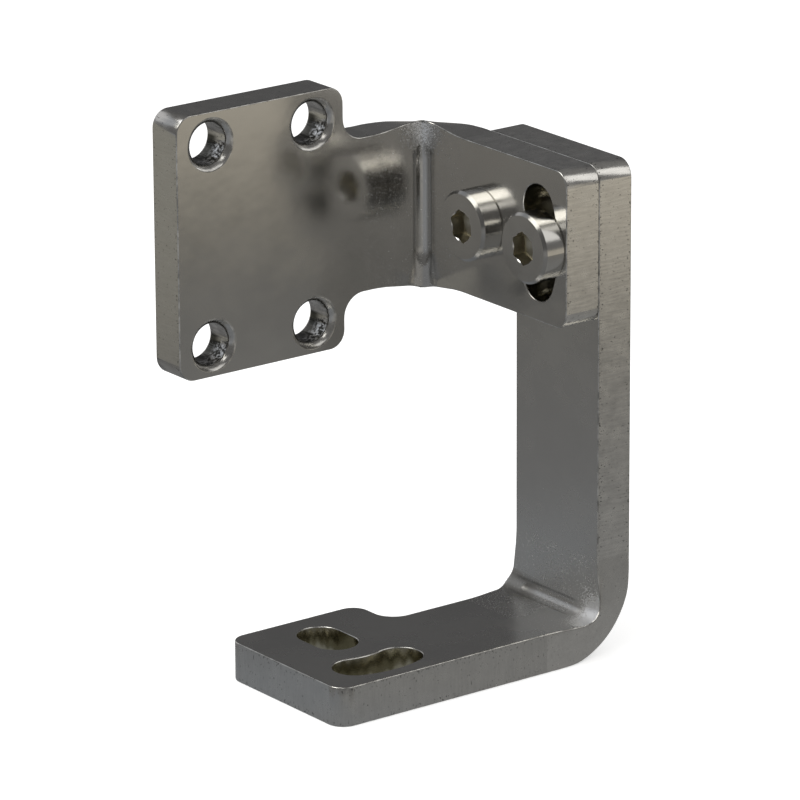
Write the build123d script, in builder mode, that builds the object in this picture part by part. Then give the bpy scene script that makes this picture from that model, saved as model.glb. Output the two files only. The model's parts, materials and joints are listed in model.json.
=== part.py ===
"""Adjustable angle bracket: two bent stainless plates held together by two low-head socket screws.

The base bracket stands on its foot. The tilting bracket lies face to face against the upright leg,
turns about the pivot screw and is clamped by the second screw, which runs in a curved slot.

Frame, in millimetres: the origin is the centre of the foot's pivot slot, on the underside of the
foot. The leg stands behind it at +y and faces -y, the mounting plate is on the -x side, z is up.
"""
import os
from math import cos, pi, sin

from build123d import *

os.makedirs("parts", exist_ok=True)

# Sheet and bends. The fold is tight inside and wide outside, so the sheet thins where it turns.
# Its inside opens out towards both sides, and the nose of the press leaves a shallow mark in it.
# The bend shows in the sides of the sheet over a land beyond it, given as a share of the neck.
sheet = 4.0
fold_radius = 1.2
outer_radius = 7.4
bend_land_of_neck = 0.3
swell_inside = 0.6
drawn_outside = 0.65
flare_radius = 2.3
nose_radius = 1.0
nose_press = 0.03
nose_from_side = 1.3
nose_taper = 2.2
nose_fade = 0.42

# Height and side plane shared by both brackets, and the distance from that side to the plate
top_level = 49.96
foot_pivot_from_side = 12.3
plate_from_side = 22.4

# Base bracket
leg_width = 12.84
end_step = 5.32
head_height = 13.2
foot_length = 31.33
foot_end_length = 15.58
corner_convex = 1.75
corner_concave = 2.3
foot_corner = 1.8

# Slots in the foot, placed from its front end and its right side
foot_slot_width = 4.5
foot_pivot_from_end = 7.71
foot_pivot_travel = 2.5
foot_arc_from_side = 3.78
foot_arc_half_angle = 18.2

# Tilting bracket. The plate rises above the neck and drops below it, and its holes keep their
# distances from its four sides.
neck_height = 15.64
neck_length = 9.72
plate_width = 19.71
plate_rise = 5.6
plate_drop = 5.15
flange_corner = 1.6
hole_diameter = 4.2
hole_chamfer = 0.5
hole_from_far_side = 3.98
hole_from_near_side = 3.73
hole_from_top = 3.24
hole_from_bottom = 3.15

# Screws, at half the neck's height and placed from the right side
thread_diameter = 4.0
screw_fit = 0.05
slot_clearance = 0.3
pivot_from_side = 13.32
clamp_from_side = 3.7
slot_half_angle = 21.4
head_diameter = 7.0
head_thickness = 2.4
head_chamfer = 0.28
head_underside_break = 0.12
socket_across_flats = 2.95
socket_depth = 1.5
socket_mouth_flare = 0.08
socket_mouth_depth = 0.12
drill_point_depth = 0.5
thread_end_chamfer = 0.45
pivot_socket_turn = 42
clamp_socket_turn = 34

# Derived sizes
right_side = foot_pivot_from_side
leg_left = right_side - leg_width
end_left = leg_left - end_step
foot_front = -foot_pivot_from_end
leg_front = foot_front + foot_length
foot_shoulder = foot_front + foot_end_length
neck_bottom = top_level - neck_height
plate_x = right_side - plate_from_side
plate_near = sheet + neck_length
plate_far = plate_near + plate_width
plate_top = top_level + plate_rise
plate_bottom = neck_bottom - plate_drop
hole_rows = (plate_near + hole_from_near_side, plate_far - hole_from_far_side)
hole_levels = (plate_bottom + hole_from_bottom, plate_top - hole_from_top)
axis_z = top_level - neck_height / 2
pivot_x = right_side - pivot_from_side
clamp_x = right_side - clamp_from_side
slot_radius = clamp_x - pivot_x
foot_arc_radius = foot_pivot_from_side - foot_arc_from_side
slot_width = thread_diameter + 2 * slot_clearance
bore_radius = thread_diameter / 2 + screw_fit
shank_length = 2 * sheet
socket_mouth_radius = socket_across_flats / 2 + socket_mouth_flare
half_fold = fold_radius * pi / 4
bend_end = max(outer_radius - sheet, fold_radius) + bend_land_of_neck * neck_length
swell_reach = bend_end - fold_radius + half_fold
nose_centre = nose_radius - nose_press
flare_length = nose_from_side + nose_taper
spare = 2 * swell_inside
clamp_slot_path = CenterArc((0, 0), slot_radius, -slot_half_angle, 2 * slot_half_angle)
foot_slot_path = CenterArc((0, 0), foot_arc_radius, -foot_arc_half_angle, 2 * foot_arc_half_angle)

# Sketch planes. In a bend plane local x runs out along one flange and local y along the other,
# both measured from the sharp inner corner, and local z runs along the bend line.
leg_face = Plane(origin=(0, leg_front, 0), x_dir=(1, 0, 0), z_dir=(0, -1, 0))
plate_face = Plane(origin=(plate_x, leg_front, 0), x_dir=(0, -1, 0), z_dir=(-1, 0, 0))
upper_bend = Plane(origin=(plate_x, leg_front - sheet, 0), x_dir=(0, -1, 0), z_dir=(0, 0, 1))
lower_bend = Plane(origin=(0, leg_front, sheet), x_dir=(0, -1, 0), z_dir=(-1, 0, 0))
upper_nose = Plane(
    origin=(plate_x + nose_centre, leg_front - sheet - nose_centre, (top_level + neck_bottom) / 2),
    x_dir=(0, 0, 1),
    z_dir=(0, -1, 0),
)
lower_nose = Plane(
    origin=((right_side + leg_left) / 2, leg_front - nose_centre, sheet + nose_centre),
    x_dir=(1, 0, 0),
    z_dir=(0, -1, 0),
)


def sheet_point(along, depth):
    """Point inside the bent sheet: distance along the fold from its middle, depth below the inside."""
    if along > half_fold:
        return fold_radius + along - half_fold, -depth
    if along < -half_fold:
        return -depth, fold_radius - along - half_fold
    angle = 5 * pi / 4 + along / fold_radius
    reach = fold_radius + depth
    return fold_radius + reach * cos(angle), fold_radius + reach * sin(angle)


def bend_side(plane, level, outward):
    """Side surface of a bend: squeezed out along the inside of the fold, drawn in on the outside."""
    rows = []
    steps = 10
    for i in range(steps + 1):
        along = swell_reach * (2 * i / steps - 1)
        row = []
        for j in range(6):
            depth = sheet * (-0.2 + 0.28 * j)
            x, y = sheet_point(along, depth)
            turn = (x - y) / (bend_end + depth)
            squeezed = swell_inside * (1 - depth / sheet) * cos(pi * turn / 2) ** 2
            drawn = drawn_outside * depth / sheet * cos(pi * turn / 2) ** 3
            row.append(plane.from_local_coords(Vector(x, y, level + outward * (squeezed - drawn))))
        rows.append(row)
    return Face.make_surface_from_array_of_points(rows)


def bend_profile():
    """Closed outline of the bent zone: small fold inside, wide radius outside, straight ends."""
    outer_tangent = outer_radius - sheet
    Line((bend_end, 0), (fold_radius, 0))
    ThreePointArc((fold_radius, 0), sheet_point(0, 0), (0, fold_radius))
    Polyline((0, fold_radius), (0, bend_end), (-sheet, bend_end), (-sheet, outer_tangent))
    outer_middle = outer_tangent - outer_radius * cos(pi / 4)
    ThreePointArc((-sheet, outer_tangent), (outer_middle, outer_middle), (outer_tangent, -sheet))
    Polyline((outer_tangent, -sheet), (bend_end, -sheet), (bend_end, 0))


def fold_corner(radius):
    """Section that fills the inner corner of a bend up to a fold of the given radius."""
    bite = sheet / 8
    centre = Vector(radius, radius)
    middle = centre - Vector(radius, radius).normalized() * radius
    Polyline((0, radius), (-bite, radius), (-bite, -bite), (radius, -bite), (radius, 0))
    ThreePointArc((radius, 0), middle, (0, radius))


def flare(plane, side, inward):
    """Opens the inside of the fold towards one side of the sheet."""
    sections = []
    for distance, radius in ((spare, flare_radius), (-flare_length, fold_radius)):
        with BuildSketch(plane.offset(side - inward * distance)) as section:
            with BuildLine():
                fold_corner(radius)
            make_face()
        sections.append(section.sketch)
    loft(sections, ruled=True)


def nose_outline(length):
    """Half outline of the press nose: a rod whose ends taper off."""
    end = length / 2
    body = end - nose_taper
    tip = nose_radius - nose_fade
    Line((-body, nose_radius), (body, nose_radius))
    TangentArc((body, nose_radius), (end, tip), tangent=(1, 0))
    Polyline((end, tip), (end, 0), (-end, 0), (-end, tip))
    TangentArc((-body, nose_radius), (-end, tip), tangent=(-1, 0))


# Base bracket: upright leg, lower bend and slotted foot
with BuildPart() as base_bracket:
    with BuildSketch(lower_bend.offset(-right_side - spare)):
        with BuildLine():
            bend_profile()
        make_face()
    extrude(amount=leg_width + 2 * spare)
    flare(lower_bend, -right_side, 1)
    flare(lower_bend, -leg_left, -1)
    extrude(bend_side(lower_bend, -right_side, -1), amount=sheet, dir=(1, 0, 0), mode=Mode.SUBTRACT)
    extrude(bend_side(lower_bend, -leg_left, 1), amount=sheet, dir=(-1, 0, 0), mode=Mode.SUBTRACT)
    with BuildSketch(lower_nose):
        with BuildLine():
            nose_outline(leg_width - 2 * nose_from_side)
        make_face()
    revolve(axis=Axis(lower_nose.origin, lower_nose.x_dir), mode=Mode.SUBTRACT)

    with BuildSketch(leg_face) as leg_outline:
        with BuildLine():
            Polyline(
                (leg_left, sheet + bend_end),
                (right_side, sheet + bend_end),
                (right_side, top_level),
                (end_left, top_level),
                (end_left, top_level - head_height),
                (leg_left, top_level - head_height),
                close=True,
            )
        make_face()
        fillet(leg_outline.vertices().group_by(Axis.Y)[-1], corner_convex)
        shoulder = leg_outline.vertices().group_by(Axis.Y)[-3]
        fillet(shoulder.sort_by(Axis.X)[0], corner_convex)
        fillet(leg_outline.vertices().sort_by_distance((leg_left, top_level - head_height))[0], corner_concave)
    extrude(amount=-sheet)

    with BuildSketch(Plane.XY) as foot_outline:
        with BuildLine():
            Polyline(
                (leg_left, leg_front - bend_end),
                (right_side, leg_front - bend_end),
                (right_side, foot_front),
                (end_left, foot_front),
                (end_left, foot_shoulder),
                (leg_left, foot_shoulder),
                close=True,
            )
        make_face()
        fillet(foot_outline.vertices().sort_by(Axis.Y)[:2], foot_corner)
        fillet(foot_outline.vertices().sort_by_distance((end_left, foot_shoulder))[0], corner_convex)
        fillet(foot_outline.vertices().sort_by_distance((leg_left, foot_shoulder))[0], corner_concave)
    extrude(amount=sheet)

    with BuildSketch(Plane.XY):
        SlotCenterToCenter(foot_pivot_travel, foot_slot_width)
        SlotArc(foot_slot_path, foot_slot_width)
    extrude(amount=sheet, mode=Mode.SUBTRACT)

    with BuildSketch(leg_face):
        with Locations((pivot_x, axis_z), (clamp_x, axis_z)):
            Circle(bore_radius)
    extrude(amount=-sheet, mode=Mode.SUBTRACT)
base_bracket.part.label = "base_bracket"


# Tilting bracket: flange that lies on the leg, upper bend, neck and drilled plate
with BuildPart() as tilt_bracket:
    with BuildSketch(upper_bend.offset(neck_bottom - spare)):
        with BuildLine():
            bend_profile()
        make_face()
    extrude(amount=neck_height + 2 * spare)
    flare(upper_bend, neck_bottom, 1)
    flare(upper_bend, top_level, -1)
    extrude(bend_side(upper_bend, top_level, 1), amount=sheet, dir=(0, 0, 1), mode=Mode.SUBTRACT)
    extrude(bend_side(upper_bend, neck_bottom, -1), amount=sheet, dir=(0, 0, -1), mode=Mode.SUBTRACT)
    with BuildSketch(upper_nose):
        with BuildLine():
            nose_outline(neck_height - 2 * nose_from_side)
        make_face()
    revolve(axis=Axis(upper_nose.origin, upper_nose.x_dir), mode=Mode.SUBTRACT)

    with BuildSketch(leg_face) as flange_outline:
        with BuildLine():
            Polyline(
                (plate_x + bend_end, neck_bottom),
                (right_side, neck_bottom),
                (right_side, top_level),
                (plate_x + bend_end, top_level),
                close=True,
            )
        make_face()
        fillet(flange_outline.vertices().sort_by(Axis.X)[-2:], flange_corner)
    extrude(amount=sheet)

    with BuildSketch(leg_face):
        with Locations((pivot_x, axis_z)):
            Circle(bore_radius)
            SlotArc(clamp_slot_path, slot_width)
    extrude(amount=sheet, mode=Mode.SUBTRACT)

    with BuildSketch(plate_face) as plate_outline:
        with BuildLine():
            Polyline(
                (sheet + bend_end, neck_bottom),
                (plate_near, neck_bottom),
                (plate_near, plate_bottom),
                (plate_far, plate_bottom),
                (plate_far, plate_top),
                (plate_near, plate_top),
                (plate_near, top_level),
                (sheet + bend_end, top_level),
                close=True,
            )
        make_face()
        fillet(plate_outline.vertices().group_by(Axis.Y)[0], corner_convex)
        fillet(plate_outline.vertices().group_by(Axis.Y)[-1], corner_convex)
        fillet(plate_outline.vertices().sort_by_distance((plate_near, top_level))[0], corner_concave)
        fillet(plate_outline.vertices().sort_by_distance((plate_near, neck_bottom))[0], corner_concave)
    extrude(amount=sheet)

    with BuildSketch(plate_face):
        with Locations(*[(row, level) for row in hole_rows for level in hole_levels]):
            Circle(hole_diameter / 2)
    extrude(amount=sheet, mode=Mode.SUBTRACT)
    rims = [
        edge
        for edge in tilt_bracket.edges().filter_by(GeomType.CIRCLE)
        if abs(edge.radius - hole_diameter / 2) < 0.01
    ]
    chamfer(rims, hole_chamfer)
tilt_bracket.part.label = "tilt_bracket"


def low_head_screw(x, socket_turn):
    """Low-head socket screw, its head seated on the tilting bracket and its thread in the leg."""
    seat = Plane(origin=(x, leg_front - sheet, axis_z), x_dir=(1, 0, 0), z_dir=(0, -1, 0))
    with BuildPart() as screw:
        with BuildSketch(seat):
            Circle(head_diameter / 2)
        extrude(amount=head_thickness)
        rings = screw.edges().filter_by(GeomType.CIRCLE).sort_by(Axis.Y)
        chamfer(rings[0], head_chamfer)
        chamfer(rings[-1], head_underside_break)
        with BuildSketch(seat):
            Circle(thread_diameter / 2)
        extrude(amount=-shank_length)
        chamfer(screw.edges().filter_by(GeomType.CIRCLE).sort_by(Axis.Y)[-1], thread_end_chamfer)
        with BuildSketch(seat.offset(head_thickness)):
            RegularPolygon(socket_across_flats / 2, 6, major_radius=False, rotation=socket_turn)
        extrude(amount=-socket_depth, mode=Mode.SUBTRACT)
        with Locations(seat.offset(head_thickness - socket_mouth_depth / 2)):
            Cone(
                socket_across_flats / 2,
                socket_mouth_radius,
                socket_mouth_depth,
                mode=Mode.SUBTRACT,
            )
        with Locations(seat.offset(head_thickness - socket_depth - drill_point_depth / 2)):
            Cone(0.05, socket_across_flats / 2 - 0.05, drill_point_depth, mode=Mode.SUBTRACT)
    return screw.part


pivot_screw = low_head_screw(pivot_x, pivot_socket_turn)
pivot_screw.label = "pivot_screw"
clamp_screw = low_head_screw(clamp_x, clamp_socket_turn)
clamp_screw.label = "clamp_screw"

export_step(base_bracket.part, "parts/base_bracket.step")
export_step(tilt_bracket.part, "parts/tilt_bracket.step")
export_step(pivot_screw, "parts/pivot_screw.step")
export_step(clamp_screw, "parts/clamp_screw.step")
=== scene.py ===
# %% [markdown]
# # An angle bracket in stainless steel
# The bracket is two pieces of thick stainless plate, each cut out flat and then bent once, held
# together by two low-head socket screws. Its solids come ready made from the imported part, so this
# lesson is about looks: how rolled faces, cut sides, drilled holes, pressed folds and turned screws
# differ from each other although all of them are bare steel. First the part is loaded and its box
# is kept.

import json
import math

import bpy
from mathutils import Matrix, Vector


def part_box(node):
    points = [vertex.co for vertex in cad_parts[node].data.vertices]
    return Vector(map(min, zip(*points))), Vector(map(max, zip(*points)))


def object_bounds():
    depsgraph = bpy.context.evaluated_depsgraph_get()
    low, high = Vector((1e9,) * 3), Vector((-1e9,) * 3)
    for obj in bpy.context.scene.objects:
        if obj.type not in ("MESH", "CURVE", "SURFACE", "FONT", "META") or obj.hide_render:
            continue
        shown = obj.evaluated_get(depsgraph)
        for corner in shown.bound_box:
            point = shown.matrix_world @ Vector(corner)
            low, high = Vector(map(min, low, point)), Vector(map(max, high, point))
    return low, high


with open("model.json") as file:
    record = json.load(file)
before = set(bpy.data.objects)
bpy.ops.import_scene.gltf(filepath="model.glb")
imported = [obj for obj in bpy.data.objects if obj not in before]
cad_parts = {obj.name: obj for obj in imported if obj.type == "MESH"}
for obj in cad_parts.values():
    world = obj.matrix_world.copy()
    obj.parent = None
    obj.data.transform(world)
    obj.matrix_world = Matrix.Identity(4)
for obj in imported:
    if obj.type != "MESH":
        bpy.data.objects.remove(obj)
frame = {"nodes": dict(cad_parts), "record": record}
cad_low, cad_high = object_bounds()
nodes = frame["nodes"]
scene = bpy.context.scene
print("nodes:", sorted(nodes), "size in mm:", [round(1000 * s, 2) for s in cad_high - cad_low])

# %% [markdown]
# ## Which face was made by which tool
# A plate shows two kinds of surface. The mill rolled its two large faces, which are smooth and
# slightly cloudy. The cutter made the narrow sides round the outline and in the slots, and left
# fine marks across the thickness. The solid has one material for both. Painting faces by hand would
# be lost as soon as the part is made again, so each face is sorted by where it lies and where it
# points: a face of the sheet points along the sheet's thickness there, and any other is a side.

# %% Sizes that the sorting needs, most of them read from the part
mm = 0.001
PLATES, SCREWS = ("base_bracket", "tilt_bracket"), ("pivot_screw", "clamp_screw")
SHEET = 4 * mm  # thickness of both plates
OUTER_RADIUS = 7.4 * mm  # of the outside of each bend
BEND_REACH = 6.3 * mm  # from the corner inside a fold to where the sheet is flat again
foot_low, leg_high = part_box("base_bracket")
tilt_low, tilt_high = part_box("tilt_bracket")
leg_front = leg_high.y - SHEET
flange_front = leg_front - SHEET
plate_front = tilt_low.x + SHEET
print("leg face y", round(leg_front / mm, 2), "plate face x", round(plate_front / mm, 2))


# %% The flat parts of each plate
def region_of(node, p):
    """The part of a bent plate that a point belongs to, and the axis of the thickness there.
    For a fold the axis is the one that its two ends point along."""
    if node == "base_bracket":
        if p.z > SHEET + BEND_REACH:
            return "leg", 1
        return ("foot", 2) if p.y < leg_front - BEND_REACH else ("fold", 0)
    if p.x > plate_front + BEND_REACH:
        return "flange", 1
    return ("plate", 0) if p.y < flange_front - BEND_REACH else ("fold", 2)


print("corner of the foot:", region_of("base_bracket", foot_low))

# %% The four drilled holes of the mounting plate
HOLE_REACH = 3 * mm  # wide enough to take in the chamfers
hole_record = frame["record"]["mounts"][0]
half_y = hole_record["dims"]["spacing_x_mm"] * mm / 2
half_z = hole_record["dims"]["spacing_y_mm"] * mm / 2
hole_y = [hole_record["pos_m"][1] + s * half_y for s in (-1, 1)]
hole_z = [hole_record["pos_m"][2] + s * half_z for s in (-1, 1)]


def is_in_hole(p):
    """True close to one of the hole axes, which run along x."""
    return any(math.hypot(p.y - y, p.z - z) < HOLE_REACH for y in hole_y for z in hole_z)


print("holes at y", [round(y / mm, 2) for y in hole_y], "z", [round(z / mm, 2) for z in hole_z])

# %% The slots of the foot and the flange
# Each box holds the walls of a plate's slots: low corner, high corner, and the two axes it is in.
SLOTS = {
    "flange": ((3 * mm, tilt_low.z + 7 * mm), (tilt_high.x - mm, leg_high.z - mm), (0, 2)),
    "foot": ((-5 * mm, -6 * mm), (leg_high.x - mm, 5.5 * mm), (0, 1)),
}


def is_in_slot(region, p):
    low, high, axes = SLOTS[region]
    return all(a < p[i] < b for a, b, i in zip(low, high, axes))


print("slots in", sorted(SLOTS))

# %% The two sides of a fold
INWARD = {
    "base_bracket": Vector((0, -1, 1)).normalized(),
    "tilt_bracket": Vector((1, -1, 0)).normalized(),
}
PRESSED = {"base_bracket": "pressed_base", "tilt_bracket": "pressed_tilt"}
bend_axis = {
    "base_bracket": Vector((0, leg_high.y - OUTER_RADIUS, foot_low.z + OUTER_RADIUS)),
    "tilt_bracket": Vector((tilt_low.x + OUTER_RADIUS, leg_front - OUTER_RADIUS, 0)),
}


def skin_of_fold(node, face):
    """The inside of a fold carries the press mark, and its outside was drawn round a corner."""
    inward = face.normal.dot(INWARD[node])
    if inward > 0.5:
        return PRESSED[node]
    outside = (face.center - bend_axis[node]).dot(INWARD[node]) < 0
    return "drawn" if outside and inward < -0.5 else "rolled"


print("fold of the base turns about", [round(v / mm, 2) for v in bend_axis["base_bracket"]])

# %% The finish of a face of a plate
FLAT, SLANTED, HALF_WAY = 0.95, 0.3, 0.5  # how far a normal lies along the axis, from 0 to 1


def finish_of(node, face):
    region, axis = region_of(node, face.center)
    along = abs(face.normal[axis])
    if region == "fold":
        return "cut_fold" if along > HALF_WAY else skin_of_fold(node, face)
    if along > FLAT:
        return "rolled"
    if region == "plate" and is_in_hole(face.center):
        return "countersunk" if along > SLANTED else "drilled"
    if region in SLOTS and is_in_slot(region, face.center):
        return "slot_wall"
    return "cut_" + region


print("first face of the base:", finish_of("base_bracket", nodes["base_bracket"].data.polygons[0]))

# %% [markdown]
# ## Node groups
# The finishes share their ingredients: marks that run across the thickness, the cloudiness of
# rolled steel and a fine grain. Copying those nodes into every material would work, but a change
# would then have to be made many times. So each ingredient is a node group with named sockets. The
# material keeps the shader and gives the group its own values. A few helpers keep the node code
# short.


# %% Helpers that make a node and feed its inputs
def add(tree, kind, **values):
    """A node with some of its input sockets or settings set by name."""
    node = tree.nodes.new("ShaderNode" + kind)
    for key, value in values.items():
        label = key.replace("_", " ").title()
        if label in node.inputs:
            node.inputs[label].default_value = value
        else:
            setattr(node, key, value)
    return node


def feed(tree, value, socket):
    """Links an input to another node's output, or sets it to a fixed value."""
    if isinstance(value, bpy.types.NodeSocket):
        tree.links.new(value, socket)
    else:
        socket.default_value = value


print("helpers: add, feed")


# %% Helpers for sums with numbers and vectors
def maths(tree, operation, a, b=0.0):
    """One Math node. Each of a and b is a number or an output socket."""
    node = add(tree, "Math", operation=operation)
    feed(tree, a, node.inputs[0])
    feed(tree, b, node.inputs[1])
    return node.outputs[0]


def vector_maths(tree, operation, a, b):
    """One Vector Math node. SCALE takes a number or number socket as b, and the others a vector."""
    node = add(tree, "VectorMath", operation=operation)
    feed(tree, a, node.inputs[0])
    feed(tree, b, node.inputs["Scale"] if operation == "SCALE" else node.inputs[1])
    return node.outputs["Value" if operation in ("DOT_PRODUCT", "DISTANCE") else "Vector"]


def point_of(tree):
    """The point on the surface, in metres of the object's own space."""
    return add(tree, "TexCoord").outputs["Object"]


print("helpers: maths, vector_maths, point_of")


# %% Helpers for masks and noise
def ramp(tree, value, start, end, first, last):
    node = add(tree, "MapRange", interpolation_type="SMOOTHSTEP")
    feed(tree, value, node.inputs["Value"])
    node.inputs["From Min"].default_value, node.inputs["From Max"].default_value = start, end
    node.inputs["To Min"].default_value, node.inputs["To Max"].default_value = first, last
    return node.outputs["Result"]


def rise(tree, value, start, end):
    """0 up to the start, then smoothly up to 1 at the end."""
    return ramp(tree, value, start, end, 0.0, 1.0)


def fall(tree, value, start, end):
    """1 up to the start, then smoothly down to 0 at the end."""
    return ramp(tree, value, start, end, 1.0, 0.0)


def noise(tree, point, per_metre, detail, roughness):
    """Noise from 0 to 1 with a number of cells to the metre, which may come from a socket."""
    node = add(tree, "TexNoise", detail=detail, roughness=roughness)
    feed(tree, point, node.inputs["Vector"])
    feed(tree, per_metre, node.inputs["Scale"])
    return node.outputs["Fac"]


print("helpers: rise, fall, noise")


# %% Helper that starts a node group
def new_group(name, inputs, outputs):
    """A shader node group with float or vector sockets. Gives back the tree, the outputs of its
    input node and the inputs of its output node."""
    tree = bpy.data.node_groups.new(name, "ShaderNodeTree")
    kinds = {"v": "NodeSocketVector", "f": "NodeSocketFloat"}
    for label, kind, default in inputs:
        entry = tree.interface.new_socket(name=label, in_out="INPUT", socket_type=kinds[kind])
        entry.default_value = default
    for label in outputs:
        kind = "v" if label == "Normal" else "f"
        tree.interface.new_socket(name=label, in_out="OUTPUT", socket_type=kinds[kind])
    given, out = tree.nodes.new("NodeGroupInput"), tree.nodes.new("NodeGroupOutput")
    return tree, given.outputs, out.inputs


print("helper: new_group")

# %% [markdown]
# ### Marks across the thickness
# A cutting jet or beam leaves ridges that follow it through the plate, so they are long across the
# thickness and short along the outline. Plain noise gives that look when its coordinates are
# squeezed along the thickness. The group takes that axis and the level of the plate's middle, so
# that one recipe serves every side. It also gives flecks, which are densest beside the two edges,
# where the cutter enters and leaves the steel.


# %% Group: marks that run across the thickness
def squeeze(tree, point, axis, along, share):
    """Coordinates without a share of their run along an axis, which draws noise out along it."""
    step = vector_maths(tree, "SCALE", axis, maths(tree, "MULTIPLY", along, share))
    return vector_maths(tree, "SUBTRACT", point, step)


def build_cut_marks():
    tree, given, out = new_group(
        "cut_marks",
        [
            ("Axis", "v", (0.0, 1.0, 0.0)),
            ("Middle", "f", 0.0),
            ("Squeeze", "f", 0.1),
            ("Scale", "f", 4500.0),
        ],
        ["Lines", "Blotches", "Flecks"],
    )
    point = point_of(tree)
    along = vector_maths(tree, "DOT_PRODUCT", point, given["Axis"])
    share = maths(tree, "SUBTRACT", 1.0, given["Squeeze"])
    half_share = maths(tree, "MULTIPLY", share, 0.5)
    squeezed = squeeze(tree, point, given["Axis"], along, share)
    squeezed_less = squeeze(tree, point, given["Axis"], along, half_share)
    fine = noise(tree, squeezed, given["Scale"], detail=3.0, roughness=0.6)
    coarse = noise(tree, point, 700.0, detail=4.0, roughness=0.6)
    feed(tree, rise(tree, fine, 0.3, 0.7), out["Lines"])
    feed(tree, rise(tree, coarse, 0.3, 0.7), out["Blotches"])

    off_middle = maths(tree, "ABSOLUTE", maths(tree, "SUBTRACT", along, given["Middle"]))
    beside_edge = rise(tree, off_middle, 1.0 * mm, 1.95 * mm)  # the edge lies 2 mm from the middle
    patches = noise(tree, point, 300.0, detail=2.0, roughness=0.5)
    patches = maths(tree, "MULTIPLY", patches, 0.16)
    specks = noise(tree, squeezed_less, 6000.0, detail=1.0, roughness=0.5)
    level = maths(tree, "ADD", specks, maths(tree, "MULTIPLY", beside_edge, patches))
    feed(tree, rise(tree, level, 0.69, 0.76), out["Flecks"])
    return tree


cut_marks = build_cut_marks()
print("group", cut_marks.name, "with", len(cut_marks.nodes), "nodes")

# %% [markdown]
# ### Cloudiness and pits of rolled steel
# Rolled stainless looks even from far away, and cloudy and lightly pitted close to. Noise of
# several sizes does it: a wide one that shifts the tone a little, a slow one that makes reflections
# wavy, and narrow ones that give grain and small pits.


# %% Group: cloudiness and pits
def build_mill_finish():
    tree, given, out = new_group(
        "mill_finish",
        [("Cloud Scale", "f", 150.0), ("Grain Scale", "f", 4000.0)],
        ["Clouds", "Grain", "Pits", "Waves"],
    )
    point = point_of(tree)
    clouds = noise(tree, point, given["Cloud Scale"], detail=5.0, roughness=0.6)
    feed(tree, rise(tree, clouds, 0.3, 0.7), out["Clouds"])
    pits = noise(tree, point, 1300.0, detail=2.0, roughness=0.5)
    feed(tree, rise(tree, pits, 0.70, 0.78), out["Pits"])
    feed(tree, noise(tree, point, given["Grain Scale"], detail=2.0, roughness=0.6), out["Grain"])
    feed(tree, noise(tree, point, 320.0, detail=2.0, roughness=0.5), out["Waves"])
    return tree


mill_finish = build_mill_finish()
print("group", mill_finish.name, "with", len(mill_finish.nodes), "nodes")

# %% [markdown]
# ### Marks of the press
# In the corner of each fold the press has upset the steel. It is grainy there, most of all at the
# end where the squeezed steel opens out in a small bright fan of painted glints. A dark line of
# painted shade runs along each side of the press mark, and the other end is dull, with painted
# shade there too. The group measures how near a point is to the corner line and to its two ends,
# and makes one mask of each effect.


# %% Group: grain, lines of painted shade and dull end of a fold
def build_press_marks():
    tree, given, out = new_group(
        "press_marks",
        [
            ("Corner", "v", (0.0, 0.0, 0.0)),
            ("Axis", "v", (1.0, 0.0, 0.0)),
            ("Half Length", "f", 0.006),
            ("Fan", "f", 0.24),
            ("Seam End", "f", 0.0013),
        ],
        ["Grain", "Seam", "Dull"],
    )
    point = point_of(tree)
    arm = vector_maths(tree, "SUBTRACT", point, given["Corner"])
    along = vector_maths(tree, "DOT_PRODUCT", arm, given["Axis"])
    on_line = vector_maths(tree, "SCALE", given["Axis"], along)
    distance = vector_maths(tree, "DISTANCE", arm, on_line)
    from_far = maths(tree, "SUBTRACT", given["Half Length"], along)
    from_near = maths(tree, "ADD", given["Half Length"], along)

    near_end = fall(tree, from_far, 0.2 * mm, 3.6 * mm)
    near_line = fall(tree, distance, 0.7 * mm, 4.0 * mm)
    fan = maths(tree, "MULTIPLY", maths(tree, "MULTIPLY", near_end, near_line), given["Fan"])
    # The grain's specks, denser in the fan at the far end; the material paints them as glints and
    # bumps them
    specks = noise(tree, point, 6500.0, detail=2.0, roughness=0.7)
    feed(tree, rise(tree, maths(tree, "ADD", specks, fan), 0.60, 0.76), out["Grain"])

    # Painted shade: a dark line 1.2 mm from the corner line on each side of the press mark, fading
    # out near both ends
    off_shade_line = maths(tree, "ABSOLUTE", maths(tree, "SUBTRACT", distance, 1.2 * mm))
    seam = fall(tree, off_shade_line, 0.02 * mm, 0.22 * mm)
    past_end = maths(tree, "SUBTRACT", from_far, given["Seam End"])
    seam = maths(tree, "MULTIPLY", seam, rise(tree, past_end, 0.0, 1.3 * mm))
    feed(tree, maths(tree, "MULTIPLY", seam, rise(tree, from_near, 0.0, 0.8 * mm)), out["Seam"])

    # The dull end: the material paints shade here and makes the steel rougher as well
    near_start = fall(tree, from_near, 1.8 * mm, 4.0 * mm)
    close = fall(tree, distance, 0.9 * mm, 2.0 * mm)
    feed(tree, maths(tree, "MULTIPLY", near_start, close), out["Dull"])
    return tree


press_marks = build_press_marks()
print("group", press_marks.name, "with", len(press_marks.nodes), "nodes")

# %% [markdown]
# ### A truly round bend
# The solid's mesh goes round the outside of a bend in flat strips, and strips show in polished
# steel. A finer mesh would only make them narrower. The skin there is part of a cylinder, so its
# normal is worked out from the cylinder's axis at every point.


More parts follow.
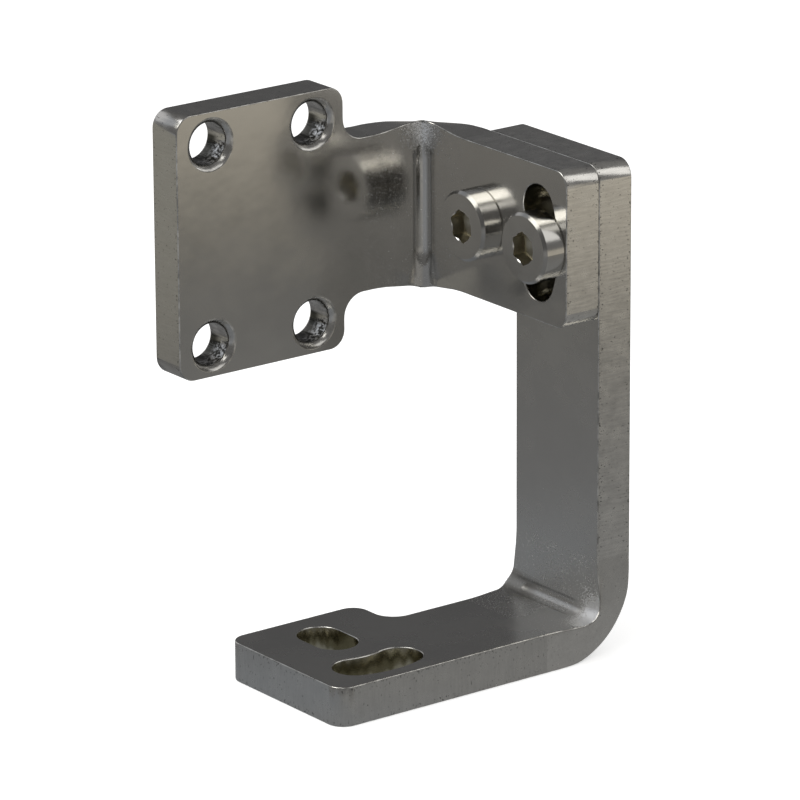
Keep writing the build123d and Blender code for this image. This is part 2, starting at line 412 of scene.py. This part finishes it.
# %% Group: normal of a cylinder
def build_round_normal():
    tree, given, out = new_group(
        "round_normal",
        [("Centre", "v", (0.0, 0.0, 0.0)), ("Across", "v", (1.0, 1.0, 0.0))],
        ["Normal"],
    )
    arm = vector_maths(tree, "SUBTRACT", point_of(tree), given["Centre"])
    turn = add(tree, "VectorTransform", vector_type="NORMAL")
    turn.convert_from, turn.convert_to = "OBJECT", "WORLD"
    feed(tree, vector_maths(tree, "MULTIPLY", arm, given["Across"]), turn.inputs[0])
    unit = add(tree, "VectorMath", operation="NORMALIZE")
    feed(tree, turn.outputs[0], unit.inputs[0])
    feed(tree, unit.outputs[0], out["Normal"])
    return tree


round_normal = build_round_normal()
print("group", round_normal.name, "with", len(round_normal.nodes), "nodes")

# %% [markdown]
# ## What all the steels have in common
# Every finish here is bare metal, so each material starts as the same fully metallic shader with
# its own roughness. Colours are shades of one steel. Marks are laid over the colour and pressed
# into the normal.


# %% Helpers that start a steel and place a group in it
def steel(name, roughness):
    """A new metal material. Gives back the material, its tree and its shader."""
    material = bpy.data.materials.new(name)
    material.use_nodes = True
    shader = material.node_tree.nodes["Principled BSDF"]
    shader.inputs["Metallic"].default_value = 1.0
    shader.inputs["Roughness"].default_value = roughness
    return material, material.node_tree, shader


def place(tree, group, **values):
    """Puts a node group in a material, with its own values. Gives back its outputs."""
    node = tree.nodes.new("ShaderNodeGroup")
    node.node_tree = group
    for key, value in values.items():
        node.inputs[key.replace("_", " ").title()].default_value = value
    return node.outputs


print("helpers: steel, place")

# %% Helpers for colour and relief
STEEL = (0.56, 0.55, 0.53)


def shade(k):
    """The steel's colour, darker or lighter."""
    return tuple(k * c for c in STEEL)


def lay(tree, under, mask, over):
    """Lays a colour over another where a mask is 1. The lower one is a colour or a socket."""
    mix = add(tree, "Mix", data_type="RGBA")
    feed(tree, mask, mix.inputs["Factor"])
    feed(tree, (*under, 1) if isinstance(under, tuple) else under, mix.inputs["A"])
    mix.inputs["B"].default_value = (*over, 1)
    return mix.outputs["Result"]


def bump(tree, shader, height, distance):
    """Presses a height into the shader's normal, on top of what feeds it already."""
    node = add(tree, "Bump", strength=1.0, distance=distance)
    feed(tree, height, node.inputs["Height"])
    if shader.inputs["Normal"].is_linked:
        feed(tree, shader.inputs["Normal"].links[0].from_socket, node.inputs["Normal"])
    feed(tree, node.outputs["Normal"], shader.inputs["Normal"])


print("steel colour", STEEL)

# %% [markdown]
# ## Rolled faces
# They are half way between satin and mirror: the screws can be seen in the mounting plate, but
# blurred and a little wavy. The upper plate is the shinier of the two. The roughness gives the
# blur, and a shallow slow bump gives the waves.

# %% Materials: rolled faces
ROLLED_ROUGHNESS = {"base_bracket": 0.27, "tilt_bracket": 0.16}
WAVE_HEIGHT = 0.02 * mm
SMALL_SHARE = 0.03  # of the wave height, for the grain and the pits together
GRAIN_HEIGHT, PIT_DEPTH = 0.2, 0.4  # of that share


def build_rolled(name, plate):
    roughness = ROLLED_ROUGHNESS[plate]
    material, tree, shader = steel(name, roughness)
    mill = place(tree, mill_finish)
    feed(tree, lay(tree, shade(0.97), mill["Clouds"], shade(1.03)), shader.inputs["Base Color"])
    rough = maths(tree, "ADD", maths(tree, "MULTIPLY", mill["Clouds"], 0.05), roughness - 0.025)
    feed(tree, rough, shader.inputs["Roughness"])
    pits = maths(tree, "MULTIPLY", mill["Pits"], PIT_DEPTH)
    small = maths(tree, "SUBTRACT", maths(tree, "MULTIPLY", mill["Grain"], GRAIN_HEIGHT), pits)
    height = maths(tree, "ADD", maths(tree, "MULTIPLY", small, SMALL_SHARE), mill["Waves"])
    bump(tree, shader, height, WAVE_HEIGHT)
    return material, tree, shader


rolled = {
    "base_bracket": build_rolled("rolled_base", "base_bracket")[0],
    "tilt_bracket": build_rolled("rolled_tilt", "tilt_bracket")[0],
}
print("materials", [look.name for look in rolled.values()])

# %% [markdown]
# ## Outside of the bends
# The same rolled skin goes round the outside of each bend, so it gets the same material. Only the
# normal under its bump comes from the cylinder.


# %% Materials: the outside of each bend
def build_drawn(name, plate, across):
    material, tree, shader = build_rolled(name, plate)
    normal = place(tree, round_normal, centre=bend_axis[plate], across=across)
    waves = shader.inputs["Normal"].links[0].from_node
    feed(tree, normal["Normal"], waves.inputs["Normal"])
    return material


drawn = {
    "base_bracket": build_drawn("drawn_base", "base_bracket", across=(0, 1, 1)),
    "tilt_bracket": build_drawn("drawn_tilt", "tilt_bracket", across=(1, 1, 0)),
}
print("materials", [look.name for look in drawn.values()])

# %% [markdown]
# ## Inside of the folds
# The press mark's shape is in the solid. Its skin gets the three masks of the press group: the dark
# lines beside the mark and the dull end darken the rolled steel as painted shade, and the dull end
# is rougher as well. The grain is painted nearly white as painted glints and roughens the steel
# too, since upset steel glitters in many directions.


# %% Materials: the inside of each fold
# Painted shade for the dark lines and the dull end, and painted glints for the grain
SHADE_LINE_TONE, END_SHADE_TONE, GLINT_TONE = shade(0.25), shade(0.45), (0.92, 0.92, 0.92)
GRAIN_ROUGHER, DULL_ROUGHER = 0.12, 0.2


def build_pressed(name, plate, seam, dull, sparkle, **where):
    """Rolled steel with the marks of the press. seam is how strong the painted shade of the dark
    lines is, and dull is how strong the painted shade and the added roughness of the dull end are.
    sparkle is the height of the grain. The other values go to the group."""
    material, tree, shader = build_rolled(name, plate)
    marks = place(tree, press_marks, **where)
    colour = shader.inputs["Base Color"].links[0].from_socket
    # Painted shade along both sides of the press mark
    colour = lay(tree, colour, maths(tree, "MULTIPLY", marks["Seam"], seam), SHADE_LINE_TONE)
    # Painted shade at the dull end of the fold
    colour = lay(tree, colour, maths(tree, "MULTIPLY", marks["Dull"], dull), END_SHADE_TONE)
    # Painted glints: the grain is painted nearly white, while its bump and roughness are real
    colour = lay(tree, colour, marks["Grain"], GLINT_TONE)
    feed(tree, colour, shader.inputs["Base Color"])
    bump(tree, shader, marks["Grain"], sparkle)
    rough = shader.inputs["Roughness"].links[0].from_socket
    rough = maths(tree, "ADD", rough, maths(tree, "MULTIPLY", marks["Grain"], GRAIN_ROUGHER))
    rough = maths(tree, "ADD", rough, maths(tree, "MULTIPLY", marks["Dull"], DULL_ROUGHER * dull))
    feed(tree, rough, shader.inputs["Roughness"])
    return material


print("pressed faces go to", sorted(PRESSED.values()))

# %% The two folds have marks of their own
X, Y, Z = (1, 0, 0), (0, 1, 0), (0, 0, 1)
tilt_axis = frame["record"]["behaviour"]["joints"][0]["pos_m"]
low_marks = {
    "seam": 0.5,
    "dull": 0.6,
    "sparkle": 0.06 * mm,
    "corner": (5.88 * mm, leg_front, SHEET),
    "axis": X,
    "half_length": 6.4 * mm,
    "fan": 0.4,
    "seam_end": 2.8 * mm,
}
high_marks = {
    "seam": 0.55,
    "dull": 0.3,
    "sparkle": 0.012 * mm,
    "corner": (plate_front, flange_front, tilt_axis[2]),
    "axis": Z,
    "half_length": 7.8 * mm,
    "fan": 0.24,
    "seam_end": 1.3 * mm,
}
pressed = {
    "pressed_base": build_pressed("pressed_base", "base_bracket", **low_marks),
    "pressed_tilt": build_pressed("pressed_tilt", "tilt_bracket", **high_marks),
}
print("materials", sorted(pressed))

# %% [markdown]
# ## Cut sides
# The same recipe serves every cut side. Only the axis of the thickness and the level of the plate's
# middle change, and how strong the streaks are. The sides of the leg and the flange stand upright
# in full light and look paler than the rest, so their colour is painted paler as painted light. At
# a fold the sides have no one direction across the thickness, and with no axis the marks lose their
# direction too.


# %% Materials: cut sides
FLECK_TONE, FLECK_DEPTH = shade(0.38), 0.4
BLOTCH_ROUGHER = 0.06


def build_cut(
    name, axis, middle, contrast=0.07, roughness=0.25, depth=0.0018 * mm, scale=4500.0, k=1.0
):
    material, tree, shader = steel(name, roughness)
    marks = place(tree, cut_marks, axis=axis, middle=middle, scale=scale)
    tone = maths(tree, "MULTIPLY", maths(tree, "ADD", marks["Lines"], marks["Blotches"]), 0.5)
    colour = lay(tree, shade(k * (1 - contrast)), tone, shade(k * (1 + contrast)))
    feed(tree, lay(tree, colour, marks["Flecks"], FLECK_TONE), shader.inputs["Base Color"])
    blotches = maths(tree, "MULTIPLY", marks["Blotches"], BLOTCH_ROUGHER)
    rough = maths(tree, "ADD", blotches, roughness - BLOTCH_ROUGHER / 2)
    feed(tree, rough, shader.inputs["Roughness"])
    flecks = maths(tree, "MULTIPLY", marks["Flecks"], FLECK_DEPTH)
    bump(tree, shader, maths(tree, "SUBTRACT", marks["Lines"], flecks), depth)
    return material, tree, shader


cut_looks = {
    # Painted light: the sides of the leg and the flange are painted paler, at 1.29 times the steel
    "cut_leg": build_cut("cut_leg", Y, leg_front + SHEET / 2, contrast=0.14, k=1.29)[0],
    "cut_flange": build_cut("cut_flange", Y, leg_front - SHEET / 2, contrast=0.14, k=1.29)[0],
    "cut_foot": build_cut("cut_foot", Z, foot_low.z + SHEET / 2, depth=0.0012 * mm)[0],
    "cut_plate": build_cut("cut_plate", X, plate_front - SHEET / 2)[0],
    "cut_fold": build_cut("cut_fold", (0, 0, 0), 0.0, k=1.14)[0],
}
print("materials", sorted(cut_looks))

# %% [markdown]
# ## Drilled holes
# A drill leaves a rougher wall than a jet does. The upper half of each wall is even, and the lower
# half is torn; its torn patches are painted black and white as painted reflections, and the wall is
# painted dark deep in the hole as painted shade. The patches are one noise, cut at two levels. All
# four holes share the material, so the height above a hole's own axis is the height above the lower
# row, wrapped at half the distance between the rows.


# %% Masks of painted shade and glints on a drilled wall
# How strong the painted shade is deep in the hole and among the torn patches
DEEP_SHADE, TORN_SHADE = 0.93, 0.92


def bore_shade_and_glints(tree):
    """How strongly painted shade and painted reflections cover the wall at each point: shade deep
    in the hole, and dark reflections and glints on the torn lower half.
    """
    split = add(tree, "SeparateXYZ")
    feed(tree, point_of(tree), split.inputs[0])
    height = add(tree, "Math", operation="WRAP")
    feed(tree, maths(tree, "SUBTRACT", split.outputs["Z"], hole_z[0]), height.inputs[0])
    height.inputs[1].default_value, height.inputs[2].default_value = half_z, -half_z
    height = height.outputs[0]
    depth = maths(tree, "SUBTRACT", plate_front, split.outputs["X"])
    torn = noise(tree, point_of(tree), 3200.0, detail=2.0, roughness=0.6)
    lower = fall(tree, height, -0.6 * mm, 0.0)
    deep_shade = maths(tree, "MULTIPLY", rise(tree, depth, 1.3 * mm, 2.8 * mm), DEEP_SHADE)
    deep_shade = maths(tree, "MULTIPLY", deep_shade, fall(tree, height, -0.1 * mm, 0.3 * mm))
    torn_shade = maths(tree, "MULTIPLY", lower, TORN_SHADE)
    dark_reflection = maths(tree, "MULTIPLY", rise(tree, torn, 0.49, 0.53), torn_shade)
    glint_mask = maths(tree, "MULTIPLY", fall(tree, torn, 0.36, 0.42), lower)
    return maths(tree, "MAXIMUM", deep_shade, dark_reflection), glint_mask


print("half distance between the rows", round(half_z / mm, 2), "mm")


# %% Materials: drilled walls and their chamfers
# Tones of the painted dark reflections and glints on the torn wall
REFLECTION_BLACK, GLINT_WHITE = (0.02, 0.02, 0.015), (0.95, 0.95, 0.95)


def build_drilled():
    middle = plate_front - SHEET / 2
    values = {"contrast": 0.4, "roughness": 0.14, "depth": 0.02 * mm, "scale": 2600.0}
    material, tree, shader = build_cut("drilled", X, middle, **values)
    shade_mask, glint_mask = bore_shade_and_glints(tree)
    colour = shader.inputs["Base Color"].links[0].from_socket
    # Painted glints, then painted dark reflections and the painted shade deep in the hole
    colour = lay(tree, colour, glint_mask, GLINT_WHITE)
    feed(tree, lay(tree, colour, shade_mask, REFLECTION_BLACK), shader.inputs["Base Color"])
    return material


cut_looks["drilled"] = build_drilled()
chamfer = {"contrast": 0.15, "roughness": 0.22, "depth": 0.004 * mm, "scale": 2500.0, "k": 0.95}
cut_looks["countersunk"] = build_cut("countersunk", X, plate_front, **chamfer)[0]
print("materials", cut_looks["drilled"].name, cut_looks["countersunk"].name)

# %% [markdown]
# ## Walls of the slots
# Little light gets into a slot, so its walls are painted a darker brownish tone as painted shade.
# They are smoother than the outer sides, so a brown cloudy tone and a slight grain are enough.


# %% Material: slot walls
def build_drifting(name, roughness, tones, depth, cloud_scale, grain_scale):
    """A steel whose tone drifts between two colours, with a grain of some depth."""
    material, tree, shader = steel(name, roughness)
    mill = place(tree, mill_finish, cloud_scale=cloud_scale, grain_scale=grain_scale)
    feed(tree, lay(tree, tones[0], mill["Clouds"], tones[1]), shader.inputs["Base Color"])
    bump(tree, shader, mill["Grain"], depth)
    return material


# Painted shade: darker brownish tones on the walls of the slots
slot_shade_tones = (0.36, 0.34, 0.25), (0.50, 0.47, 0.37)
slot_scales = {"cloud_scale": 500.0, "grain_scale": 5000.0}
cut_looks["slot_wall"] = build_drifting("slot_wall", 0.22, slot_shade_tones, 0.002 * mm, **slot_scales)
print("material", cut_looks["slot_wall"].name)

# %% [markdown]
# ## Turned screws
# Heads turned on a lathe are smooth and even, with only a trace of grain. Their chamfers are
# painted darker as painted shade, which dims their highlight, and the flared mouth of the hexagon
# is painted paler as a painted highlight. The sockets are painted a darker brown as painted shade,
# for little light finds its way in and out again.


# %% Materials: heads, chamfers, mouths and sockets
def build_turned(name, roughness, k):
    tones = shade(0.96 * k), shade(1.04 * k)
    scales = {"cloud_scale": 400.0, "grain_scale": 6000.0}
    return build_drifting(name, roughness, tones, 0.0015 * mm, **scales)


turned = build_turned("turned", 0.2, 1.02)
# Painted shade: the chamfers are painted darker, at 0.66 times the steel, which dims their
# highlight
shaded_chamfer = build_turned("turned_chamfer_shaded", 0.2, 0.66)
# Painted highlight: the flared mouth is painted paler, at 1.2 times the steel
mouth_highlight = build_turned("turned_mouth_highlight", 0.18, 1.2)
# Painted shade: darker brownish tones inside the sockets
socket_shade_tones = (0.36, 0.34, 0.27), (0.54, 0.51, 0.43)
socket_scales = {"cloud_scale": 900.0, "grain_scale": 6000.0}
socket = build_drifting("socket", 0.3, socket_shade_tones, 0.004 * mm, **socket_scales)
print("materials", turned.name, shaded_chamfer.name, mouth_highlight.name, socket.name)

# %% [markdown]
# ## Steel of the broken edges
# Handling has polished the edges in some places and nicked them in others. So their tone and
# roughness drift in opposite senses along the edge, which breaks up the bright line that an even
# edge would give. The tone runs from darker than the steel to paler than it, and its paler end is a
# painted highlight.


# %% Material: broken edges
def build_edge():
    # The paler end of these tones, beyond the steel's own colour, is a painted highlight
    tones = shade(0.6), shade(1.35)
    scales = {"cloud_scale": 900.0, "grain_scale": 5000.0}
    material = build_drifting("edge", 0.2, tones, 0.004 * mm, **scales)
    tree = material.node_tree
    shader = tree.nodes["Principled BSDF"]
    clouds = tree.nodes["Group"].outputs["Clouds"]
    rough = maths(tree, "ADD", maths(tree, "MULTIPLY", clouds, -0.15), 0.32)
    feed(tree, rough, shader.inputs["Roughness"])
    return material


edge = build_edge()
print("material", edge.name)

# %% [markdown]
# ## Every face gets its finish
# All finishes of a plate go into its material slots once. The edge comes first, as number 0, which
# is what the bevel below is told to use. Then each face takes the number of its finish.


# %% Finishes of the plates
def dress_plate(name):
    """Gives each face of a plate its material, and gives back the finishes in use."""
    looks = {"edge": edge, "rolled": rolled[name], "drawn": drawn[name]}
    looks[PRESSED[name]] = pressed[PRESSED[name]]
    looks.update(cut_looks)
    mesh = nodes[name].data
    mesh.materials.clear()
    for look in looks.values():
        mesh.materials.append(look)
    number = {finish: i for i, finish in enumerate(looks)}
    finishes = [finish_of(name, face) for face in mesh.polygons]
    for face, finish in zip(mesh.polygons, finishes):
        face.material_index = number[finish]
    return sorted(set(finishes))


for name in PLATES:
    print(name, "uses", dress_plate(name))

# %% Finishes of the screws
SOCKET_REACH = 1.72 * mm  # just wider than the corners of the hexagon
RIM_REACH = 3 * mm  # outside this a slanted face is the head's chamfer
MARGIN = 0.1 * mm
SCREW_LOOKS = [turned, socket, shaded_chamfer, mouth_highlight]


def look_of(face, low, high):
    """The look of a screw's face, in a screw whose box has these corners."""
    middle = (low + high) / 2
    off_axis = math.hypot(face.center.x - middle.x, face.center.z - middle.z)
    sunk = low.y + MARGIN < face.center.y < flange_front - MARGIN
    if sunk and off_axis < SOCKET_REACH:
        return socket
    if 0.2 < -face.normal.y < 0.9:  # slanted towards the front
        return shaded_chamfer if off_axis > RIM_REACH else mouth_highlight
    return turned


def dress_screw(name):
    mesh = nodes[name].data
    mesh.materials.clear()
    for look in SCREW_LOOKS:
        mesh.materials.append(look)
    low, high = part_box(name)
    for face in mesh.polygons:
        face.material_index = SCREW_LOOKS.index(look_of(face, low, high))
    return len(mesh.polygons)


for name in SCREWS:
    print(name, "has", dress_screw(name), "faces")

# %% [markdown]
# ## Broken edges
# No real edge is sharp. A light break of an eighth of a millimetre catches the light as a thin
# line, which is half of what makes steel look real. The part's mesh comes in with its faces loose
# from each other, so it is welded first, its flat triangles are merged, and then a bevel goes round
# every sharp edge. The screws have their chamfers in the solid.

# %% Break the edges of the plates
EDGE_BREAK = 0.12 * mm


def break_edges(name):
    piece = nodes[name]
    weld = piece.modifiers.new("weld", "WELD")
    weld.merge_threshold = 1e-6
    merge = piece.modifiers.new("merge_flats", "DECIMATE")
    merge.decimate_type = "DISSOLVE"
    merge.angle_limit = math.radians(0.3)
    merge.delimit = {"MATERIAL"}
    bevel = piece.modifiers.new("break", "BEVEL")
    bevel.width = EDGE_BREAK
    bevel.segments = 2
    bevel.limit_method = "ANGLE"
    bevel.angle_limit = math.radians(35)
    bevel.use_clamp_overlap = False
    bevel.harden_normals = True
    bevel.material = 0  # the edge
    return [modifier.name for modifier in piece.modifiers]


for name in PLATES:
    print(name, "has", break_edges(name))

# %% [markdown]
# ## Studio
# A white floor runs far behind the bracket, and the world behind it is white as well. Turning up
# the lamps until the floor clips would bleach the steel. So the floor glows a little, only for rays
# from the camera, off a glossy surface or through glass, and it still takes the bracket's shadow.


# %% Helper: rays that see the background
def seen_directly(tree):
    """1 for a ray from the camera, off a glossy surface or through glass, and 0 for any other."""
    path = add(tree, "LightPath")
    seen = maths(tree, "MAXIMUM", path.outputs["Is Camera Ray"], path.outputs["Is Glossy Ray"])
    return maths(tree, "MAXIMUM", seen, path.outputs["Is Transmission Ray"])


print("helper: seen_directly")

# %% Floor
FLOOR_SIZE, FLOOR_GAP, FLOOR_LIFT = 6.0, 0.02 * mm, 0.42


def build_floor():
    mesh = bpy.data.meshes.new("floor")
    h = FLOOR_SIZE / 2
    mesh.from_pydata([(-h, -h, 0), (h, -h, 0), (h, h, 0), (-h, h, 0)], [], [(0, 1, 2, 3)])
    floor = bpy.data.objects.new("floor", mesh)
    floor.location.z = cad_low.z - FLOOR_GAP
    scene.collection.objects.link(floor)
    material = bpy.data.materials.new("floor_white")
    material.use_nodes = True
    tree = material.node_tree
    shader = tree.nodes["Principled BSDF"]
    shader.inputs["Base Color"].default_value = (0.98, 0.98, 0.98, 1)
    shader.inputs["Roughness"].default_value = 1.0
    shader.inputs["Specular IOR Level"].default_value = 0.0
    shader.inputs["Emission Color"].default_value = (1, 1, 1, 1)
    glow = maths(tree, "MULTIPLY", seen_directly(tree), FLOOR_LIFT)
    feed(tree, glow, shader.inputs["Emission Strength"])
    mesh.materials.append(material)
    return floor


floor = build_floor()
print("floor at z", round(floor.location.z / mm, 3), "mm")

# %% World: white to those rays, and dimmer as a light
WORLD_LEVEL = 0.62


def build_world():
    world = bpy.data.worlds.new("studio")
    world.use_nodes = True
    tree = world.node_tree
    background = tree.nodes["Background"]
    background.inputs["Color"].default_value = (1, 1, 1, 1)
    level = maths(tree, "MULTIPLY", seen_directly(tree), 1 - WORLD_LEVEL)
    feed(tree, maths(tree, "ADD", level, WORLD_LEVEL), background.inputs["Strength"])
    return world


scene.world = build_world()
print("world", scene.world.name)

# %% [markdown]
# ## Soft boxes
# Polished steel shows its lamps, so it matters more where a lamp is than how strong it is. Each box
# stands where a rounded corner, a chamfer or the side of a screw head mirrors it to the camera. The
# direction comes from the reflection of the view in that surface. Small point lamps would give hard
# dots instead.

# %% Soft boxes: name, direction, direction of the width, size in mm, level and colour
BRACKET_MIDDLE, BOX_DISTANCE = Vector((5, 10, 42)) * mm, 300 * mm
SOFT_BOXES = [
    ("box_right_back", (0.57, 0.573, 0.588), (-0.718, 0, 0.696), (180, 420), 0.9, (1, 0.99, 0.96)),
    ("box_front", (-0.185, -0.634, 0.731), (1, 0, 0), (185, 110), 3.0, (1, 0.985, 0.91)),
    ("box_top", (0.40, -0.485, 0.778), (1, 0, 0), (90, 90), 1.8, (1, 0.99, 0.95)),
    ("box_over", (-0.20, -0.36, 0.91), (0.94, -0.33, 0.16), (170, 90), 3.0, (1, 1, 1)),
]


def soft_box(name, towards, across, size, level, colour):
    """A soft box seen in a direction from the bracket. At level 1 its face looks white."""
    light = bpy.data.lights.new(name, "AREA")
    light.shape = "RECTANGLE"
    light.size, light.size_y = size[0] * mm, size[1] * mm
    light.energy = level * math.pi * light.size * light.size_y
    light.color = colour
    box = bpy.data.objects.new(name, light)
    z = Vector(towards).normalized()
    x = Vector(across)
    x = (x - z * x.dot(z)).normalized()
    turn = Matrix((x, z.cross(x), z)).transposed().to_4x4()
    box.matrix_world = Matrix.Translation(BRACKET_MIDDLE + z * BOX_DISTANCE) @ turn
    box.visible_camera = False
    scene.collection.objects.link(box)
    return box


print("soft boxes", [soft_box(*values).name for values in SOFT_BOXES])

# %% [markdown]
# ## Cards that only the steel sees
# The white behind the real bracket was put in after the picture was taken, and none of it shows in
# the steel. Its flat faces mirror a grey room instead. Photographers place grey cards for that, out
# of the camera's view. Here one card lies on the floor and a tent closes round the rest. They give
# no light and cast no shadow, so the floor stays white.


# %% Helpers for cards
def only_in_steel(card):
    card.visible_camera = card.visible_diffuse = card.visible_shadow = False
    card.visible_transmission = False
    card.visible_volume_scatter = False
    return card


def paint(card, masks_and_tones, first):
    """Makes a card glow in its own tones: each is laid over the ones before where its mask is 1."""
    material = bpy.data.materials.new(card.name)
    material.use_nodes = True
    tree = material.node_tree
    tree.nodes.clear()
    colour = first
    for mask, tone in masks_and_tones(tree):
        colour = lay(tree, colour, mask, tone)
    glow = add(tree, "Emission", strength=1.0)
    feed(tree, colour, glow.inputs["Color"])
    end = add(tree, "OutputMaterial")
    feed(tree, glow.outputs[0], end.inputs["Surface"])
    card.data.materials.append(material)


def along_axis(tree, direction):
    """How far a point of the card lies along a direction."""
    return vector_maths(tree, "DOT_PRODUCT", point_of(tree), Vector(direction).normalized())


print("helpers: only_in_steel, paint, along_axis")

# %% [markdown]
# ### Floor card
# Each flat face mirrors a different stretch of the floor, one behind the other along a line from
# the front left to the back right. So the card's tone changes along that line: each row below is a
# place on it, in mm, and the tone that it has reached there. Two stretches at the front right have
# tones of their own.

# %% Floor card
CARD_SIZE, CARD_GAP = 1.6, 0.01 * mm
CARD_TONES = [
    (-180, (0.34, 0.33, 0.29)),
    (-116, (0.30, 0.29, 0.26)),
    (-90, (0.14, 0.14, 0.14)),
    (-62, (0.205, 0.205, 0.205)),
    (-31, (0.215, 0.217, 0.22)),
    (-7, (0.262, 0.275, 0.29)),
    (20, (0.285, 0.285, 0.28)),
    (60, (0.235, 0.235, 0.23)),
    (85, (0.228, 0.226, 0.218)),
    (105, (0.207, 0.205, 0.198)),
    (124, (0.20, 0.197, 0.188)),
    (136, (0.245, 0.235, 0.205)),
    (151, (0.285, 0.267, 0.23)),
    (177, (0.57, 0.53, 0.45)),
]
NEAR_TONE, FAR_TONE = (0.32, 0.33, 0.345), (0.45, 0.44, 0.42)


def card_tones(tree):
    along, across = along_axis(tree, (0.8, 0.6, 0)), along_axis(tree, (0.6, -0.8, 0))
    for (start, _), (end, tone) in zip(CARD_TONES, CARD_TONES[1:]):
        yield rise(tree, along, start * mm, end * mm), tone
    near, far = fall(tree, along, 5 * mm, 30 * mm), rise(tree, along, 5 * mm, 30 * mm)
    yield maths(tree, "MULTIPLY", rise(tree, across, 50 * mm, 80 * mm), near), NEAR_TONE
    yield maths(tree, "MULTIPLY", rise(tree, across, 88 * mm, 135 * mm), far), FAR_TONE


bpy.ops.mesh.primitive_plane_add(size=CARD_SIZE)
table_card = bpy.context.object
table_card.name = "table_card"
table_card.location.z = cad_low.z - CARD_GAP
paint(table_card, card_tones, CARD_TONES[0][1])
only_in_steel(table_card)
print("card with", len(CARD_TONES) + 2, "tones")

# %% [markdown]
# ### Tent
# The upper faces mirror what stands behind the bracket on the left. A large dim ball closes the
# room there, with a patch of another tone wherever a face, a fold or a bent edge shows one. Each
# row gives the patch's direction, where it starts and is full (as the cosine of the angle away from
# it), and its tone.

# %% Tent
TENT_RADIUS, TENT_DIM = 0.75, (0.17, 0.168, 0.165)
TENT_TONES = [
    ((-0.76, 0.57, 0.31), (0.80, 0.95), (0.11, 0.11, 0.112)),
    ((-0.76, -0.40, 0.51), (0.91, 0.975), (0.44, 0.46, 0.49)),
    ((-0.94, -0.10, 0.33), (0.93, 0.98), (0.75, 0.75, 0.76)),
]


def tent_tones(tree):
    for direction, (start, full), tone in TENT_TONES:
        near = maths(tree, "DIVIDE", along_axis(tree, direction), TENT_RADIUS)
        yield rise(tree, near, start, full), tone


bpy.ops.mesh.primitive_uv_sphere_add(segments=64, ring_count=32, radius=TENT_RADIUS)
tent = bpy.context.object
tent.name = "tent"
paint(tent, tent_tones, TENT_DIM)
only_in_steel(tent)
print("tent with", len(TENT_TONES), "patches")

# %% [markdown]
# ## Camera
# The picture was taken with a long lens from the right of the front and a little above. A long lens
# keeps parallel edges nearly parallel, so the camera has to be far away as well. It stands on the
# line that leaves the aim point at the azimuth and elevation below, and rolls by a third of a
# degree. The values come from fitting the part's straight edges to those in the picture.

# %% Camera
AIM, DISTANCE, LENS = Vector((3.1708, 6.5563, 27.7181)) * mm, 595.632 * mm, 279.5985
AZIMUTH, ELEVATION, ROLL = 52.945, 17.933, -0.3096


def build_camera():
    data = bpy.data.cameras.new("camera")
    data.lens = LENS
    data.sensor_width = 36.0
    data.clip_start, data.clip_end = 0.01, 50.0
    camera = bpy.data.objects.new("camera", data)
    a, e, r = math.radians(AZIMUTH), math.radians(ELEVATION), math.radians(ROLL)
    back = Vector((math.sin(a) * math.cos(e), -math.cos(a) * math.cos(e), math.sin(e)))
    right = Vector((0, 0, 1)).cross(back).normalized()
    up = back.cross(right)
    right, up = right * math.cos(r) + up * math.sin(r), up * math.cos(r) - right * math.sin(r)
    turn = Matrix((right, up, back)).transposed().to_4x4()
    camera.matrix_world = Matrix.Translation(AIM + back * DISTANCE) @ turn
    scene.collection.objects.link(camera)
    return camera


camera = build_camera()
bpy.context.scene.camera = camera
print("camera at", [round(v / mm, 1) for v in camera.location])

# %% [markdown]
# ## Finish
# The view transform stays plain, so that colours come out as written.

# %% View settings
scene.view_settings.view_transform = "Standard"
